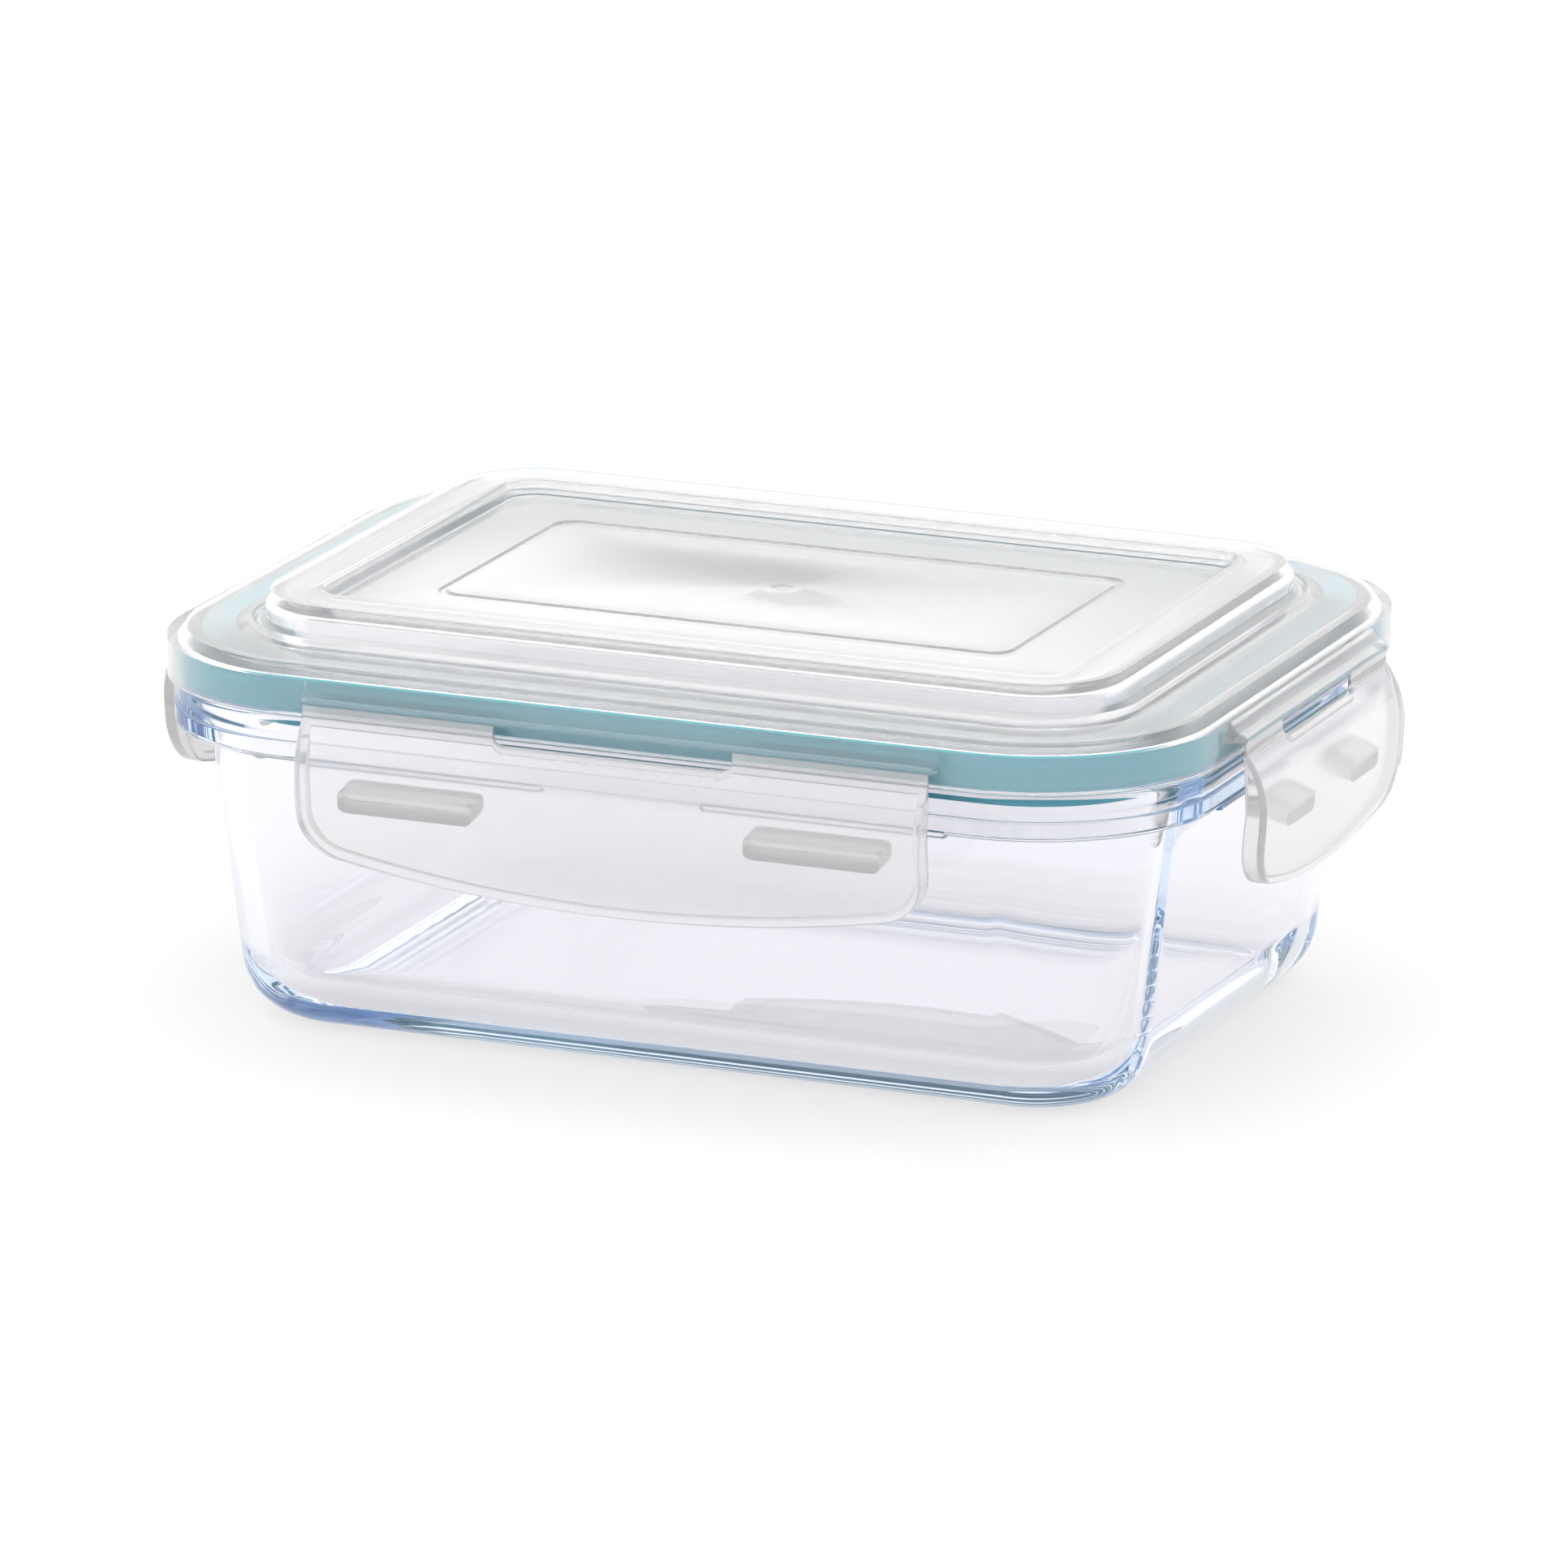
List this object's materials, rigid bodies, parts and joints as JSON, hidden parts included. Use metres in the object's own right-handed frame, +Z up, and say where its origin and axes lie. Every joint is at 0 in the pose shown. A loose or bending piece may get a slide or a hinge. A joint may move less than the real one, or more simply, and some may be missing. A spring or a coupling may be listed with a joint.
{
  "type": "glass storage container",
  "caption": "Rounded rectangular glass food container with a clear lid that locks on all sides by hinged flaps over a silicone seal.",
  "frame": {"origin": "centre of the foot, on the surface the container stands on", "axes": "+X along the long side, +Y to the back, +Z up"},
  "size_m": [0.1864, 0.1394, 0.0682],
  "materials": {
    "glass": "clear pressed glass",
    "lid_plastic": "translucent polypropylene, smooth",
    "latch_plastic": "translucent polypropylene, slightly hazy",
    "seal": "satin silicone"
  },
  "bodies": {
    "container": {"glass_container": "glass"},
    "lid": {"lid_shell": "lid_plastic", "seal_gasket": "seal", "front_hinge_left": "latch_plastic", "front_hinge_right": "latch_plastic", "back_hinge_left": "latch_plastic", "back_hinge_right": "latch_plastic", "left_hinge_left": "latch_plastic", "left_hinge_right": "latch_plastic", "right_hinge_left": "latch_plastic", "right_hinge_right": "latch_plastic"},
    "front_latch": {"front_latch": "latch_plastic"},
    "back_latch": {"back_latch": "latch_plastic"},
    "left_latch": {"left_latch": "latch_plastic"},
    "right_latch": {"right_latch": "latch_plastic"}
  },
  "joints": [
    {"name": "lid_lift", "type": "slide", "parent": "container", "child": "lid", "axis": [0, 0, 1], "range_m": [0, 0.06]},
    {"name": "front_latch_swing", "type": "hinge", "parent": "lid", "child": "front_latch", "pos_m": [0, -0.0661, 0.0569], "axis": [-1, 0, 0], "range_deg": [-8, 125], "deforming": ["front_hinge_left", "front_hinge_right"]},
    {"name": "back_latch_swing", "type": "hinge", "parent": "lid", "child": "back_latch", "pos_m": [0, 0.0661, 0.0569], "axis": [1, 0, 0], "range_deg": [-8, 125], "deforming": ["back_hinge_left", "back_hinge_right"]},
    {"name": "left_latch_swing", "type": "hinge", "parent": "lid", "child": "left_latch", "pos_m": [-0.0896, 0, 0.0569], "axis": [0, 1, 0], "range_deg": [-8, 125], "deforming": ["left_hinge_left", "left_hinge_right"]},
    {"name": "right_latch_swing", "type": "hinge", "parent": "lid", "child": "right_latch", "pos_m": [0.0896, 0, 0.0569], "axis": [0, -1, 0], "range_deg": [-8, 125], "deforming": ["right_hinge_left", "right_hinge_right"]}
  ]
}
